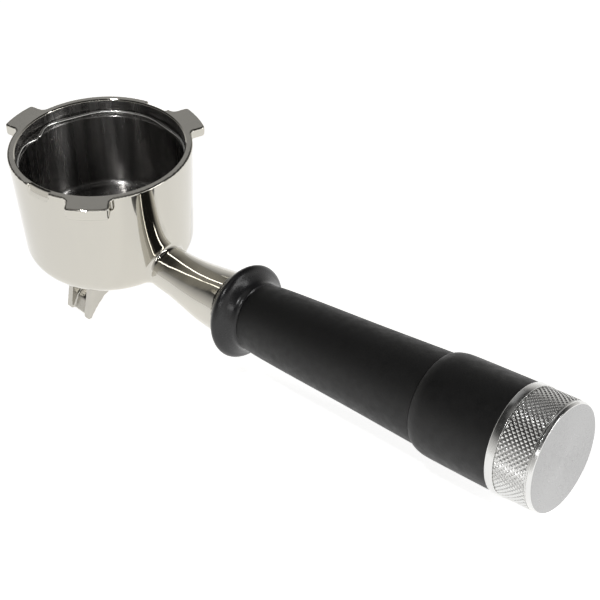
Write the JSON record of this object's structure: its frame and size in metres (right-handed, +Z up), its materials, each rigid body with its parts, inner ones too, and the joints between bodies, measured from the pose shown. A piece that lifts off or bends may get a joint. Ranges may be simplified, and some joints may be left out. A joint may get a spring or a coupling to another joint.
{
  "type": "espresso portafilter",
  "caption": "Espresso machine portafilter: a chromed cup with locking lugs, an open pouring spout screwed under it and a rubber handle clamped on a tie rod.",
  "frame": {"origin": "on the table, under the middle of the box of the object as it lies on its spout tips and its end cap", "axes": "+X runs along the object from the cup towards the end cap, +Z is up"},
  "size_m": [0.2452, 0.076, 0.0798],
  "materials": {
    "chrome_forging": "chrome plated brass, polished, slightly warm",
    "chrome_spout": "chrome plated casting, duller than the cup",
    "spring_steel": "drawn stainless spring wire and spring washer",
    "steel": "zinc plated turned steel",
    "seal_fibre": "pressed sealing and insulating fibre",
    "collar_plastic": "glossy black heat-resistant moulding",
    "grip_rubber": "matte black moulded rubber",
    "sleeve_rubber": "matte black moulded rubber",
    "core_plastic": "glass-filled nylon, black",
    "cap_metal": "turned aluminium with a diamond-knurled band",
    "insert_brass": "turned brass",
    "seal_rubber": "black nitrile O-ring"
  },
  "bodies": {
    "handle_and_cup": {"portafilter_body": "chrome_forging", "basket_spring": "spring_steel", "heat_washer": "seal_fibre", "front_collar": "collar_plastic", "rubber_grip": "grip_rubber", "grip_core": "core_plastic", "drive_pin_left": "steel", "drive_pin_right": "steel", "front_bush": "core_plastic", "tie_rod": "steel", "rear_sleeve": "sleeve_rubber", "sleeve_carrier": "core_plastic", "rear_washer": "steel", "lock_washer": "spring_steel", "clamp_nut": "steel"},
    "spout_washer": {"spout_gasket": "seal_fibre"},
    "spout": {"double_spout": "chrome_spout"},
    "cap_ring": {"cap_oring": "seal_rubber"},
    "cap": {"end_cap": "cap_metal", "cap_insert": "insert_brass"}
  },
  "joints": [
    {"name": "spout_travel", "type": "slide", "parent": "handle_and_cup", "child": "spout_washer", "axis": [-0.1836, 0, -0.983], "range_m": [0, 0.00502]},
    {"name": "spout_turn", "type": "hinge", "parent": "spout_washer", "child": "spout", "pos_m": [-0.09131, -0.00275, 0.01922], "axis": [-0.1836, 0, -0.983], "range_deg": [0, 1350]},
    {"name": "cap_travel", "type": "slide", "parent": "handle_and_cup", "child": "cap_ring", "axis": [0.9998, 0, -0.0189], "range_m": [0, 0.00788]},
    {"name": "cap_turn", "type": "hinge", "parent": "cap_ring", "child": "cap", "pos_m": [0.10927, -0.00275, 0.01879], "axis": [0.9998, 0, -0.0189], "range_deg": [0, 1890]}
  ],
  "couplings": [
    {"joint": "spout_travel", "follows": "spout_turn", "m_per_rad": 0.00021276},
    {"joint": "cap_travel", "follows": "cap_turn", "m_per_rad": 0.00023873}
  ]
}
